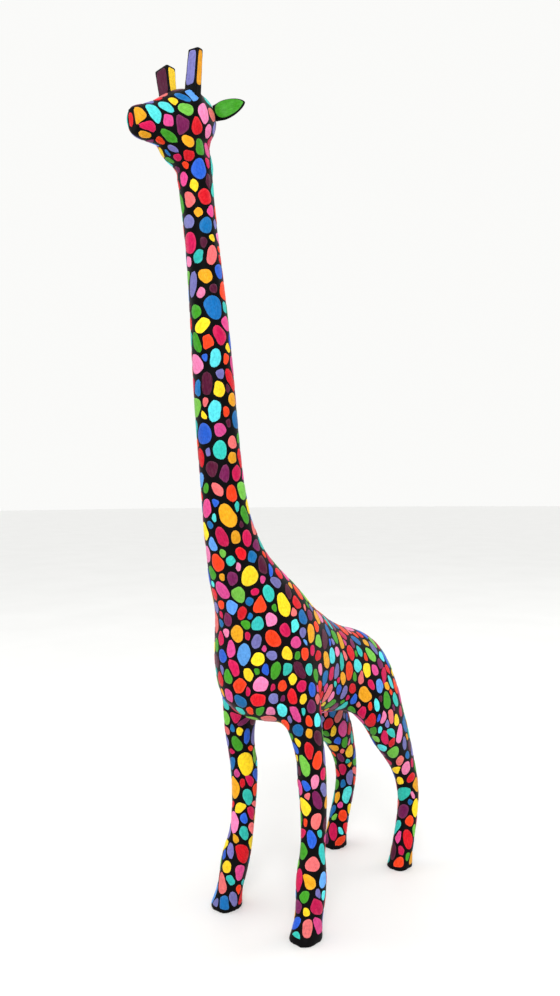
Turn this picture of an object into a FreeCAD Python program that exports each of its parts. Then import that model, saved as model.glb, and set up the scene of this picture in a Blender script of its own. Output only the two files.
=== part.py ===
import FreeCAD, Part
import os

import Sketcher
from FreeCAD import Placement, Rotation, Vector

# Carved wooden giraffe statue, 61 cm tall, standing on four feet.
#
# The statue is carved in pieces and glued up: a torso block, a neck, a head,
# four legs, two ears, two horns and a tail.  The big joints are flat glue
# faces with a round dowel inside.  Ears, horns and tail each have a round peg
# of their own, set into a seat cut to fit.
#
# Frame: millimetres, +Z up, the giraffe faces -Y, its left side is +X.  The
# origin is on the floor, under the middle of the statue's bounding box.
#
# Every carved form is a loft through elliptical stations.  A station's tilt
# turns it about X: 0 lies flat, 90 stands upright across the body.  The deep
# axis is always the longer one.  It points back on a flat station and up on
# an upright one.

OUTPUT_FOLDER = "parts"
LEFT = 1
RIGHT = -1
SIDES = (("left", LEFT), ("right", RIGHT))

# ---------------------------------------------------------------- dimensions

DRIVING = {
    "dowel_radius": 4.0,
    "dowel_reach": 20.0,
    "neck_dowel_radius": 5.0,
    "neck_dowel_reach": 25.0,
    "head_dowel_radius": 4.0,
    "head_dowel_reach": 15.0,
    "bore_relief": 1.0,
    "dowel_chamfer": 0.8,
    # A positive taper narrows a horn towards its top, a negative one widens it.
    "horn_along": -104.8,
    "horn_up": 576.0,
    "left_horn_across": 10.8,
    "left_horn_lean": 6.5,
    "left_horn_wide": 10.8,
    "left_horn_deep": 6.6,
    "left_horn_taper": 1.2,
    "left_horn_length": 34.5,
    "right_horn_across": -9.9,
    "right_horn_lean": -8.0,
    "right_horn_wide": 10.0,
    "right_horn_deep": 6.2,
    "right_horn_taper": -2.0,
    "right_horn_length": 30.4,
    "horn_corner": 1.1,
    "horn_peg_radius": 2.0,
    "horn_peg_length": 6.0,
    "ear_across": 10.5,
    "ear_along": -78.8,
    "ear_up": 580.0,
    "ear_peg_radius": 1.5,
    "ear_peg_length": 6.0,
    "tail_peg_radius": 2.0,
    "tail_peg_length": 10.0,
}

# The glue faces.  The forms on both sides of a joint share its station.
# name, along (Y), up (Z), tilt, half width, half depth
NECK_JOINT = ("neck_joint", -62.2, 300.0, 12.0, 16.8, 17.3)
HEAD_JOINT = ("head_joint", -91.6, 535.0, 8.0, 11.7, 12.2)
# name, across (X), along (Y), up (Z), half width, half depth
FRONT_JOINT = ("joint", 31.9, -13.6, 138.0, 12.0, 13.4)
HIND_JOINT = ("joint", 28.4, 90.8, 138.0, 14.4, 30.6)

# name, along (Y), up (Z), tilt, half width, half depth
TORSO = (
    ("rump_end", 138.7, 147.0, 88.0, 8.0, 10.0),
    ("rump_round", 131.7, 151.0, 88.0, 18.0, 19.0),
    ("rump", 118.2, 159.3, 87.0, 25.5, 27.0),
    ("hips", 93.2, 169.0, 83.0, 31.0, 33.5),
    ("loin", 68.2, 173.6, 74.0, 31.0, 35.4),
    ("flank", 44.7, 178.0, 65.0, 30.5, 39.4),
    ("ribs", 25.2, 182.4, 56.0, 31.5, 44.2),
    ("girth", 5.7, 187.5, 47.5, 34.0, 50.7),
    ("forehand", -9.3, 195.0, 39.5, 35.5, 54.0),
    ("shoulders", -18.6, 208.0, 32.0, 36.5, 49.2),
    ("breast", -23.6, 223.0, 24.5, 34.5, 42.3),
    ("collar", -29.4, 239.5, 18.5, 30.8, 34.6),
    ("collar_top", -39.6, 254.5, 16.4, 26.6, 28.8),
    ("neck_root", -49.8, 269.0, 15.0, 22.0, 24.2),
    ("neck_low", -56.5, 284.0, 13.5, 18.7, 20.2),
    NECK_JOINT,
)

NECK = (
    NECK_JOINT,
    ("lower", -66.6, 325.0, 8.0, 15.2, 15.6),
    ("middle", -73.8, 386.0, 5.5, 14.1, 14.6),
    ("upper", -80.5, 454.0, 6.0, 12.3, 12.8),
    ("slim", -87.2, 505.0, 7.0, 11.1, 11.6),
    HEAD_JOINT,
)

THROAT = (
    HEAD_JOINT,
    ("throat", -92.9, 541.0, 8.0, 12.2, 14.1),
    ("jaw", -100.3, 547.5, 6.0, 13.0, 20.2),
    ("gullet", -102.3, 556.0, 2.0, 12.8, 20.2),
    ("inside", -98.8, 567.0, 0.0, 10.0, 13.0),
)

HEAD = (
    ("nape", -78.3, 576.2, 103.0, 6.0, 7.2),
    ("skull_back", -82.8, 575.4, 106.0, 11.4, 12.6),
    ("skull", -91.8, 572.0, 108.0, 16.4, 18.9),
    ("brow", -104.8, 567.0, 108.0, 17.2, 20.0),
    ("cheek", -117.8, 561.8, 108.0, 12.0, 16.6),
    ("snout", -130.8, 557.9, 107.0, 8.8, 12.2),
    ("muzzle", -141.0, 555.2, 104.0, 7.3, 10.0),
    ("nose", -146.3, 554.4, 100.0, 5.6, 8.0),
)

# The raised bosses under the horns.
# name, across (X), along (Y), up (Z), half width, half depth
BOSS = (
    ("low", 8.5, -102.5, 564.0, 9.0, 13.0),
    ("middle", 10.0, -103.5, 576.0, 8.2, 9.5),
    ("top", 10.8, -104.6, 585.0, 5.5, 5.8),
)

# name, across (X), along (Y), up (Z), half width, half depth
FRONT_LEG = (
    ("sole", 38.4, -25.0, 0.0, 11.2, 12.2),
    ("hoof", 38.4, -22.7, 9.0, 10.2, 11.0),
    ("pastern", 37.7, -18.4, 22.0, 10.1, 11.0),
    ("fetlock", 37.0, -16.2, 32.0, 10.8, 11.5),
    ("cannon", 34.9, -11.8, 52.0, 9.5, 10.0),
    ("shin", 34.1, -8.8, 72.0, 9.1, 9.4),
    ("knee", 33.6, -8.1, 95.0, 9.9, 10.4),
    ("forearm", 33.1, -10.3, 118.0, 10.8, 11.7),
    FRONT_JOINT,
)

SHOULDER = (
    FRONT_JOINT,
    ("point", 29.5, -15.3, 158.0, 12.8, 17.0),
    ("blade", 25.5, -16.8, 186.0, 12.8, 19.5),
    ("blade_top", 19.0, -17.8, 216.0, 9.0, 14.0),
)

HIND_LEG = (
    ("sole", 33.6, 115.2, 0.0, 10.0, 11.0),
    ("hoof", 33.9, 117.6, 9.0, 9.1, 10.1),
    ("pastern", 34.0, 122.2, 22.0, 8.7, 9.6),
    ("cannon", 33.6, 128.2, 38.0, 8.5, 9.3),
    ("hock", 32.6, 132.2, 58.0, 8.8, 10.0),
    ("gaskin", 31.4, 129.0, 76.0, 9.2, 12.0),
    ("stifle", 30.4, 118.7, 96.0, 10.8, 17.2),
    ("thigh", 29.6, 105.0, 117.0, 12.8, 24.4),
    HIND_JOINT,
)

HAUNCH = (
    HIND_JOINT,
    ("flank", 24.5, 89.2, 158.0, 13.6, 32.0),
    ("hip", 18.0, 89.2, 182.0, 11.0, 22.0),
)

# name, distance from the root, half thickness, half width
EAR = (
    ("root", -3.0, 2.3, 5.9),
    ("low", 2.5, 2.6, 7.0),
    ("wide", 7.5, 2.3, 6.9),
    ("high", 13.5, 1.7, 5.0),
    ("tip", 18.0, 0.8, 2.2),
)
EAR_DIRECTION = Vector(0.86, 0.43, 0.25)
EAR_FACE = Vector(0.45, -0.85, 0.10)

# name, along (Y), up (Z), tilt, half width, half depth
TAIL = (
    ("root", 118.7, 178.0, 300.0, 3.4, 3.9),
    ("bend", 134.7, 169.0, 250.0, 3.0, 3.4),
    ("hang", 143.3, 148.0, 190.0, 2.4, 2.7),
    ("above_tuft", 144.3, 126.0, 180.0, 2.4, 2.7),
    ("tuft", 143.5, 110.0, 180.0, 3.5, 4.1),
    ("tip", 142.7, 96.0, 180.0, 1.2, 1.6),
)

STATION_FIELDS = ("along", "up", "tilt", "wide", "deep")
LEG_FIELDS = ("across", "along", "up", "wide", "deep")
EAR_FIELDS = ("reach", "wide", "deep")

FORMS = {
    "torso": (TORSO, STATION_FIELDS),
    "neck": (NECK, STATION_FIELDS),
    "throat": (THROAT, STATION_FIELDS),
    "head": (HEAD, STATION_FIELDS),
    "boss": (BOSS, LEG_FIELDS),
    "front_leg": (FRONT_LEG, LEG_FIELDS),
    "shoulder": (SHOULDER, LEG_FIELDS),
    "hind_leg": (HIND_LEG, LEG_FIELDS),
    "haunch": (HAUNCH, LEG_FIELDS),
    "ear": (EAR, EAR_FIELDS),
    "tail": (TAIL, STATION_FIELDS),
}

doc = FreeCAD.newDocument("CarvedGiraffe")
sheet = doc.addObject("Spreadsheet::Sheet", "Dimensions")


def fill_sheet():
    """Write every dimension into the sheet, one named cell each."""
    cells = dict(DRIVING)
    for form, (stations, fields) in FORMS.items():
        for station in stations:
            name, sizes = station[0], station[1:]
            for field, size in zip(fields, sizes):
                cells[f"{form}_{name}_{field}"] = size
    for row, (alias, size) in enumerate(cells.items(), start=1):
        sheet.set(f"A{row}", alias)
        sheet.set(f"B{row}", str(size))
        sheet.setAlias(f"B{row}", alias)
    doc.recompute()


def size_of(alias):
    """The number held in a named cell."""
    return float(sheet.get(alias))


# ------------------------------------------------------------ shared features

def origin_plane(body, role):
    """One of a body's own origin planes."""
    for feature in body.Origin.OriginFeatures:
        if feature.Role == role:
            return feature
    raise ValueError(role)


def new_body(label):
    body = doc.addObject("PartDesign::Body", label)
    body.Label = label
    return body


def flat_sketch(body, name, cells, side=LEFT, tilt=None):
    """An empty sketch on the body's XY plane, moved and tilted by cells."""
    sketch = body.newObject("Sketcher::SketchObject", f"{body.Name}_{name}")
    sketch.AttachmentSupport = [(origin_plane(body, "XY_Plane"), "")]
    sketch.MapMode = "FlatFace"
    sketch.AttachmentOffset = Placement(Vector(), Rotation(Vector(1, 0, 0), 1))
    for axis, cell in cells.items():
        sign = "-" if axis == "x" and side == RIGHT else ""
        sketch.setExpression(f"AttachmentOffset.Base.{axis}", f"{sign}Dimensions.{cell}")
    angle = f"Dimensions.{tilt}" if tilt else "0"
    sketch.setExpression("AttachmentOffset.Rotation.Angle", angle)
    return sketch


def draw_ellipse(sketch, wide_cell, deep_cell):
    """An ellipse about the sketch's origin, its longer axis along local Y."""
    wide = size_of(wide_cell)
    deep = size_of(deep_cell)
    ellipse = sketch.addGeometry(Part.Ellipse(Vector(0, deep, 0), Vector(wide, 0, 0), Vector()))
    sketch.exposeInternalGeometry(ellipse)
    long_axis = ellipse + 1
    short_axis = ellipse + 2
    sketch.addConstraint(Sketcher.Constraint("Coincident", ellipse, 3, -1, 1))
    sketch.addConstraint(Sketcher.Constraint("Vertical", long_axis))
    for axis, name, cell in ((long_axis, "deep_span", deep_cell), (short_axis, "wide_span", wide_cell)):
        index = sketch.addConstraint(Sketcher.Constraint("Distance", axis, 2 * size_of(cell)))
        sketch.renameConstraint(index, name)
        sketch.setExpression(f"Constraints.{name}", f"2 * Dimensions.{cell}")


def draw_circle(sketch, radius_cell):
    circle = sketch.addGeometry(Part.Circle(Vector(), Vector(0, 0, 1), size_of(radius_cell)))
    sketch.addConstraint(Sketcher.Constraint("Coincident", circle, 3, -1, 1))
    index = sketch.addConstraint(Sketcher.Constraint("Radius", circle, size_of(radius_cell)))
    sketch.renameConstraint(index, "radius")
    sketch.setExpression("Constraints.radius", f"Dimensions.{radius_cell}")


def loft_through(body, name, sketches):
    """Add a smooth closed form through the sketches, in their order."""
    loft = body.newObject("PartDesign::AdditiveLoft", name)
    loft.Profile = sketches[0]
    loft.Sections = sketches[1:]
    return loft


def carved_form(body, form, side=LEFT):
    """Add one lofted form of the sheet to a body, on the side asked for."""
    stations, fields = FORMS[form]
    axis_of = {"across": "x", "along": "y", "up": "z", "reach": "z"}
    sketches = []
    for station in stations:
        key = f"{form}_{station[0]}"
        cells = {axis_of[field]: f"{key}_{field}" for field in fields if field in axis_of}
        tilt = f"{key}_tilt" if "tilt" in fields else None
        sketch = flat_sketch(body, key, cells, side, tilt)
        draw_ellipse(sketch, f"{key}_wide", f"{key}_deep")
        sketches.append(sketch)
    return loft_through(body, f"{body.Name}_{form}", sketches)


def bore(body, name, cells, tilt, radius_cell, reach_cell, upward, side=LEFT):
    """Drill a dowel bore from a joint face into the body."""
    doc.recompute()
    volume_before = body.Shape.Volume
    sketch = flat_sketch(body, name + "_circle", cells, side, tilt)
    draw_circle(sketch, radius_cell)
    pocket = body.newObject("PartDesign::Pocket", name)
    pocket.Profile = sketch
    pocket.Reversed = upward
    pocket.setExpression("Length", f"Dimensions.{reach_cell} + Dimensions.bore_relief")
    doc.recompute()
    if body.Shape.Volume >= volume_before:
        raise RuntimeError(f"{name} removed nothing")


def leg_joint_cells(form):
    return {"x": f"{form}_joint_across", "y": f"{form}_joint_along", "z": f"{form}_joint_up"}


def station_cells(key):
    return {"y": f"{key}_along", "z": f"{key}_up"}


def peg(body, name, radius_cell, length_cell, cells=None, tilt=None):
    """A round peg that grows backwards out of a fitting's root."""
    sketch = flat_sketch(body, name + "_circle", cells or {}, tilt=tilt)
    draw_circle(sketch, radius_cell)
    pad = body.newObject("PartDesign::Pad", name)
    pad.Profile = sketch
    pad.Reversed = True
    pad.setExpression("Length", f"Dimensions.{length_cell}")


# ------------------------------------------------------------- carved pieces

def make_torso():
    """Barrel, rump and breast, with the roots of the four legs."""
    body = new_body("torso_block")
    carved_form(body, "torso")
    for side_name, side in SIDES:
        carved_form(body, "shoulder", side).Label = f"{side_name}_shoulder"
        carved_form(body, "haunch", side).Label = f"{side_name}_haunch"
    for side_name, side in SIDES:
        for form in ("front_leg", "hind_leg"):
            bore(body, f"{form}_{side_name}_bore", leg_joint_cells(form), None,
                 "dowel_radius", "dowel_reach", True, side)
    bore(body, "neck_bore", station_cells("torso_neck_joint"), "torso_neck_joint_tilt",
         "neck_dowel_radius", "neck_dowel_reach", False)
    return body


def make_neck():
    body = new_body("neck")
    carved_form(body, "neck")
    bore(body, "foot_bore", station_cells("neck_neck_joint"), "neck_neck_joint_tilt",
         "neck_dowel_radius", "neck_dowel_reach", True)
    bore(body, "top_bore", station_cells("neck_head_joint"), "neck_head_joint_tilt",
         "head_dowel_radius", "head_dowel_reach", False)
    return body


def make_head():
    body = new_body("head_block")
    carved_form(body, "head")
    carved_form(body, "throat")
    for side_name, side in SIDES:
        carved_form(body, "boss", side).Label = f"{side_name}_boss"
    bore(body, "throat_bore", station_cells("throat_head_joint"), "throat_head_joint_tilt",
         "head_dowel_radius", "head_dowel_reach", True)
    return body


def make_leg(form, side_name, side):
    end = form.split("_")[0]
    body = new_body(f"{end}_{side_name}_leg")
    carved_form(body, form, side)
    bore(body, "joint_bore", leg_joint_cells(form), None,
         "dowel_radius", "dowel_reach", False, side)
    return body


def make_horn(side_name):
    """A tapered square stick with softened corners and a round peg."""
    body = new_body(f"{side_name}_horn")
    sketch = flat_sketch(body, "root", {})
    draw_rectangle(sketch, f"{side_name}_horn_wide", f"{side_name}_horn_deep")
    stick = body.newObject("PartDesign::Pad", "stick")
    stick.Profile = sketch
    stick.setExpression("Length", f"Dimensions.{side_name}_horn_length")
    stick.setExpression("TaperAngle", f"-Dimensions.{side_name}_horn_taper")
    doc.recompute()
    round_corners(body, "horn_corner")
    peg(body, "horn_peg", "horn_peg_radius", "horn_peg_length")
    lean = Rotation(Vector(0, 1, 0), size_of(f"{side_name}_horn_lean"))
    base = Vector(size_of(f"{side_name}_horn_across"), size_of("horn_along"), size_of("horn_up"))
    body.Placement = Placement(base, lean)
    return body


def draw_rectangle(sketch, wide_cell, deep_cell):
    """A rectangle centred on the sketch's origin."""
    half_wide = size_of(wide_cell) / 2
    half_deep = size_of(deep_cell) / 2
    corners = [Vector(-half_wide, -half_deep, 0), Vector(half_wide, -half_deep, 0),
               Vector(half_wide, half_deep, 0), Vector(-half_wide, half_deep, 0)]
    for index in range(4):
        sketch.addGeometry(Part.LineSegment(corners[index], corners[(index + 1) % 4]))
    for index in range(4):
        sketch.addConstraint(Sketcher.Constraint("Coincident", index, 2, (index + 1) % 4, 1))
    for index in (0, 2):
        sketch.addConstraint(Sketcher.Constraint("Horizontal", index))
        sketch.addConstraint(Sketcher.Constraint("Vertical", index + 1))
    sketch.addConstraint(Sketcher.Constraint("Symmetric", 0, 1, 2, 1, -1, 1))
    for name, line, cell in (("wide", 0, wide_cell), ("deep", 1, deep_cell)):
        index = sketch.addConstraint(Sketcher.Constraint("Distance", line, size_of(cell)))
        sketch.renameConstraint(index, name)
        sketch.setExpression(f"Constraints.{name}", f"Dimensions.{cell}")


def round_corners(body, radius_cell):
    """Fillet the long edges of a stick that stands along the body's Z axis."""
    stick = body.Tip
    long_edges = []
    for number, edge in enumerate(stick.Shape.Edges, start=1):
        rise = edge.BoundBox.ZLength
        if rise > edge.Length / 2:
            long_edges.append(f"Edge{number}")
    fillet = body.newObject("PartDesign::Fillet", "softened_corners")
    fillet.Base = (stick, long_edges)
    fillet.setExpression("Radius", f"Dimensions.{radius_cell}")


def make_ear(side_name, side):
    """A leaf-shaped ear on a round peg, pointing out, back and up."""
    body = new_body(f"{side_name}_ear")
    carved_form(body, "ear")
    peg(body, "ear_peg", "ear_peg_radius", "ear_peg_length")
    direction = Vector(side * EAR_DIRECTION.x, EAR_DIRECTION.y, EAR_DIRECTION.z)
    face = Vector(side * EAR_FACE.x, EAR_FACE.y, EAR_FACE.z)
    turn = Rotation(face, direction.cross(face), direction, "ZXY")
    base = Vector(side * size_of("ear_across"), size_of("ear_along"), size_of("ear_up"))
    body.Placement = Placement(base, turn)
    return body


def make_tail():
    """A thin tail with a tuft that hangs close behind the rump."""
    body = new_body("tail")
    carved_form(body, "tail")
    peg(body, "tail_peg", "tail_peg_radius", "tail_peg_length",
        station_cells("tail_root"), "tail_root_tilt")
    return body


# -------------------------------------------------------------------- dowels

def make_dowel(label, radius_cell, reach_cell, place):
    """A round dowel with chamfered ends, centred on its joint face."""
    body = new_body(label)
    sketch = flat_sketch(body, "circle", {})
    draw_circle(sketch, radius_cell)
    pad = body.newObject("PartDesign::Pad", "rod")
    pad.Profile = sketch
    pad.Midplane = True
    pad.setExpression("Length", f"2 * Dimensions.{reach_cell}")
    doc.recompute()
    chamfer = body.newObject("PartDesign::Chamfer", "eased_ends")
    rims = [f"Edge{number}" for number, edge in enumerate(pad.Shape.Edges, start=1)
            if isinstance(edge.Curve, Part.Circle)]
    chamfer.Base = (pad, rims)
    chamfer.setExpression("Size", "Dimensions.dowel_chamfer")
    body.Placement = place
    return body


def leg_joint_place(form, side):
    """The centre of a leg's glue face, which lies flat."""
    across = side * size_of(f"{form}_joint_across")
    centre = Vector(across, size_of(f"{form}_joint_along"), size_of(f"{form}_joint_up"))
    return Placement(centre, Rotation())


def neck_joint_place(key):
    """The centre and tilt of a glue face at an end of the neck."""
    centre = Vector(0, size_of(f"{key}_along"), size_of(f"{key}_up"))
    return Placement(centre, Rotation(Vector(1, 0, 0), size_of(f"{key}_tilt")))


def make_dowels():
    dowels = []
    for side_name, side in SIDES:
        for form in ("front_leg", "hind_leg"):
            end = form.split("_")[0]
            dowels.append(make_dowel(f"{end}_{side_name}_leg_dowel", "dowel_radius", "dowel_reach",
                                     leg_joint_place(form, side)))
    dowels.append(make_dowel("neck_dowel", "neck_dowel_radius", "neck_dowel_reach",
                             neck_joint_place("neck_neck_joint")))
    dowels.append(make_dowel("head_dowel", "head_dowel_radius", "head_dowel_reach",
                             neck_joint_place("neck_head_joint")))
    return dowels


# ------------------------------------------------------------------ assembly

def cut_seats(label, block, tools):
    """The block with a seat cut into it for each piece that is set in."""
    result = block
    for number, tool in enumerate(tools, start=1):
        cut = doc.addObject("Part::Cut", f"{label}_seat_{number}")
        cut.Base = result
        cut.Tool = tool
        result = cut
    doc.recompute()
    result.Label = label
    return result


def build():
    fill_sheet()
    torso_block = make_torso()
    head_block = make_head()
    tail = make_tail()
    pieces = [make_neck(), tail]
    head_fittings = []
    for side_name, side in SIDES:
        pieces.append(make_leg("front_leg", side_name, side))
        pieces.append(make_leg("hind_leg", side_name, side))
        head_fittings.append(make_horn(side_name))
        head_fittings.append(make_ear(side_name, side))
    pieces += head_fittings
    pieces += make_dowels()
    doc.recompute()
    pieces.append(cut_seats("torso", torso_block, [tail]))
    pieces.append(cut_seats("head", head_block, head_fittings))
    return pieces


def check(pieces):
    for item in doc.Objects:
        if "Invalid" in item.State or "Error" in item.State:
            raise RuntimeError(f"{item.Label} did not recompute: {item.State}")
    for piece in pieces:
        if piece.Shape.isNull() or not piece.Shape.isValid():
            raise RuntimeError(f"{piece.Label} has no valid shape")
        if len(piece.Shape.Solids) != 1:
            raise RuntimeError(f"{piece.Label} is not one solid")


def export(pieces):
    os.makedirs(OUTPUT_FOLDER, exist_ok=True)
    for piece in pieces:
        piece.Shape.exportStep(f"{OUTPUT_FOLDER}/{piece.Label}.step")
        box = piece.Shape.BoundBox
        print(f"{piece.Label:24s} {piece.Shape.Volume:10.0f} mm3  "
              f"x {box.XMin:7.1f} {box.XMax:7.1f}  y {box.YMin:7.1f} {box.YMax:7.1f}  "
              f"z {box.ZMin:7.1f} {box.ZMax:7.1f}")


pieces = build()
check(pieces)
export(pieces)
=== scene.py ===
import math

import bmesh
import bpy
import numpy as np
from mathutils import Matrix, Vector
from mathutils.bvhtree import BVHTree


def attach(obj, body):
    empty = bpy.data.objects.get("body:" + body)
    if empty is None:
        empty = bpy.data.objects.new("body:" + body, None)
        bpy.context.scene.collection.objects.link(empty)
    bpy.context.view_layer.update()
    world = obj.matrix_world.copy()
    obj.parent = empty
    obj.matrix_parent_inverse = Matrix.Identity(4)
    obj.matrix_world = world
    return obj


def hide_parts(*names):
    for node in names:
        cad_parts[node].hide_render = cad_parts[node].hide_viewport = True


# Carved wooden giraffe, painted black and covered with hand-painted dots.
# Lengths are in millimetres until a mesh is made.  Lights, camera and the
# scales of the materials are in metres.

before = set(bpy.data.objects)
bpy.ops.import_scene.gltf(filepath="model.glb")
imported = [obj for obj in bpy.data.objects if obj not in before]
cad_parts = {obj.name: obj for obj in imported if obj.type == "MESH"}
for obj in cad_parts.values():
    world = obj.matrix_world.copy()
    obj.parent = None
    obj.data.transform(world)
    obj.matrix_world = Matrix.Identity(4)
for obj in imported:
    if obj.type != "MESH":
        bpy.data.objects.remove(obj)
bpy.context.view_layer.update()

MM = 0.001
UP = np.array((0.0, 0.0, 1.0))
ALONG = np.array((0.0, 1.0, 0.0))

# The one source of random draws.
dice = np.random.default_rng(41)


def unit(v):
    """Each row, or the one vector, scaled to length 1."""
    length = np.linalg.norm(v, axis=-1, keepdims=True)
    return v / np.maximum(length, 1e-12)


def ease(low, high, x):
    """0 below low, 1 above high, and a smooth step between."""
    t = np.clip((x - low) / (high - low), 0.0, 1.0)
    return t * t * (3.0 - 2.0 * t)


def ease_one(low, high, x):
    """The same smooth step for a single number."""
    return float(ease(low, high, x))


def band(start, full, fall, end, x):
    """1 between full and fall, easing to 0 at start and at end."""
    return ease(start, full, x) * (1.0 - ease(fall, end, x))


def new_object(name, data):
    """A mesh, lamp or camera as an object in the scene."""
    data.name = name
    thing = bpy.data.objects.new(name, data)
    bpy.context.scene.collection.objects.link(thing)
    return thing


# ---- materials

def link(material, source, target):
    material.node_tree.links.new(source, target)


def new_material(name):
    """An empty material, and the shader that feeds it."""
    material = bpy.data.materials.new(name)
    material.use_nodes = True
    nodes = material.node_tree.nodes
    nodes.clear()
    output = nodes.new("ShaderNodeOutputMaterial")
    shader = nodes.new("ShaderNodeBsdfPrincipled")
    link(material, shader.outputs["BSDF"], output.inputs["Surface"])
    return material, shader


def add_node(material, kind, inputs=None, **settings):
    """A node with its properties set, and its inputs set or linked."""
    node = material.node_tree.nodes.new("ShaderNode" + kind)
    for key, value in settings.items():
        setattr(node, key, value)
    for key, value in (inputs or {}).items():
        if isinstance(value, bpy.types.NodeSocket):
            link(material, value, node.inputs[key])
        else:
            node.inputs[key].default_value = value
    return node


def noise(material, vector, detail=3.0, roughness=0.55, scale=1.0):
    node = add_node(material, "TexNoise",
                    {"Vector": vector, "Scale": scale, "Detail": detail, "Roughness": roughness})
    return node.outputs["Fac"]


def body_noise(material, scale, detail=3.0, roughness=0.55):
    """Noise in the object's own space, with a scale for each axis."""
    place = add_node(material, "TexCoord")
    mapping = add_node(material, "Mapping",
                       {"Vector": place.outputs["Object"], "Scale": scale})
    return noise(material, mapping.outputs["Vector"], detail, roughness)


def remap(material, value, low, high, new_low, new_high):
    node = add_node(material, "MapRange",
                    {"Value": value, "From Min": low, "From Max": high,
                     "To Min": new_low, "To Max": new_high})
    return node.outputs["Result"]


def arithmetic(material, operation, a, b):
    return add_node(material, "Math", {0: a, 1: b}, operation=operation).outputs["Value"]


def ramp(material, value, stops):
    node = add_node(material, "ValToRGB", {"Fac": value})
    points = node.color_ramp.elements
    while len(points) < len(stops):
        points.new(0.5)
    for point, (position, colour) in zip(points, stops):
        point.position = position
        point.color = (*colour, 1.0)
    return node.outputs["Color"]


# The sockets that a Mix node uses for colours.
MIX_FACTOR, MIX_A, MIX_B = 0, 6, 7
MIX_RESULT = 2


def mix_colours(material, factor, a, b, blend="MIX"):
    """Two colours mixed.  Each is a node's output or three channels."""
    a, b = (c if isinstance(c, bpy.types.NodeSocket) else (*c, 1.0) for c in (a, b))
    node = add_node(material, "Mix", {MIX_FACTOR: factor, MIX_A: a, MIX_B: b},
                    data_type="RGBA", blend_type=blend)
    return node.outputs[MIX_RESULT]


def bump(material, shader, height, strength, distance):
    node = add_node(material, "Bump",
                    {"Height": height, "Strength": strength, "Distance": distance})
    link(material, node.outputs["Normal"], shader.inputs["Normal"])


def black_ground():
    """Satin black acrylic, brushed over sanded wood along the limbs."""
    deep_black = (0.0010, 0.0010, 0.0014)
    thin_black = (0.0034, 0.0031, 0.0037)
    worn_black = (0.016, 0.014, 0.014)
    material, shader = new_material("black_ground")
    strokes = body_noise(material, (900, 900, 90), 4.0, 0.6)
    cloud = body_noise(material, (60, 60, 60))
    grain = body_noise(material, (420, 420, 22), 5.0, 0.65)
    colour = ramp(material, cloud, ((0.30, deep_black), (0.72, thin_black)))
    worn = remap(material, grain, 0.66, 0.80, 0.0, 0.35)
    colour = mix_colours(material, worn, colour, worn_black)
    link(material, colour, shader.inputs["Base Color"])
    rough = remap(material, arithmetic(material, "ADD", strokes, cloud), 0.6, 1.4, 0.30, 0.50)
    link(material, rough, shader.inputs["Roughness"])
    height = arithmetic(material, "ADD", strokes, grain)
    bump(material, shader, height, 0.30, 0.00025)
    shader.inputs["Specular IOR Level"].default_value = 0.05
    return material


def dot_paint():
    """Acrylic dots: the colour is on the mesh, with brush streaks and a pale rim."""
    dark_ground = (0.012, 0.010, 0.014)
    thick_coat = (1.30, 1.28, 1.26)
    warm_white = (1.0, 0.97, 0.93)
    dull_coat = (0.50, 0.46, 0.50)
    material, shader = new_material("dot_paint")
    colour = add_node(material, "Attribute", attribute_name="paint").outputs["Color"]
    stroke = add_node(material, "Attribute", attribute_name="stroke").outputs["Vector"]
    rim = add_node(material, "Attribute", attribute_name="rim").outputs["Fac"]
    streaks = add_node(material, "Mapping",
                       {"Vector": stroke, "Scale": (0.22, 1.9, 1.0)}).outputs["Vector"]
    streak = noise(material, streaks, 4.0, 0.62)
    blot = noise(material, stroke, 3.0, 0.5, scale=0.55)
    thin = remap(material, streak, 0.30, 0.44, 0.30, 0.0)
    shade = mix_colours(material, thin, colour, dark_ground)
    lighter = mix_colours(material, 1.0, colour, thick_coat, "MULTIPLY")
    lighter = mix_colours(material, 0.07, lighter, warm_white)
    pale = remap(material, streak, 0.50, 0.74, 0.0, 0.45)
    shade = mix_colours(material, pale, shade, lighter)
    dull = remap(material, blot, 0.34, 0.60, 0.40, 0.0)
    darker = mix_colours(material, dull, shade,
                         mix_colours(material, 1.0, colour, dull_coat, "MULTIPLY"))
    edge = arithmetic(material, "MULTIPLY", remap(material, rim, 0.55, 0.95, 0.0, 0.42), blot)
    shade = mix_colours(material, edge, darker, lighter)
    link(material, shade, shader.inputs["Base Color"])
    rough = remap(material, streak, 0.25, 0.75, 0.30, 0.50)
    link(material, rough, shader.inputs["Roughness"])
    bump(material, shader, arithmetic(material, "ADD", streak, blot), 0.35, 0.00022)
    shader.inputs["Specular IOR Level"].default_value = 0.12
    return material


def bare_wood():
    """Birch dowel: pale, with fine grain along its length."""
    late_wood = (0.46, 0.31, 0.17)
    early_wood = (0.68, 0.52, 0.33)
    dark_band = (0.40, 0.26, 0.14)
    material, shader = new_material("bare_wood")
    grain = body_noise(material, (700, 700, 30), 5.0, 0.6)
    bands = body_noise(material, (180, 180, 9), 2.0)
    colour = ramp(material, grain, ((0.30, late_wood), (0.70, early_wood)))
    banded = remap(material, bands, 0.4, 0.7, 0.0, 0.5)
    colour = mix_colours(material, banded, colour, dark_band)
    link(material, colour, shader.inputs["Base Color"])
    link(material, remap(material, grain, 0.3, 0.7, 0.55, 0.75), shader.inputs["Roughness"])
    bump(material, shader, grain, 0.25, 0.0002)
    return material


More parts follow.
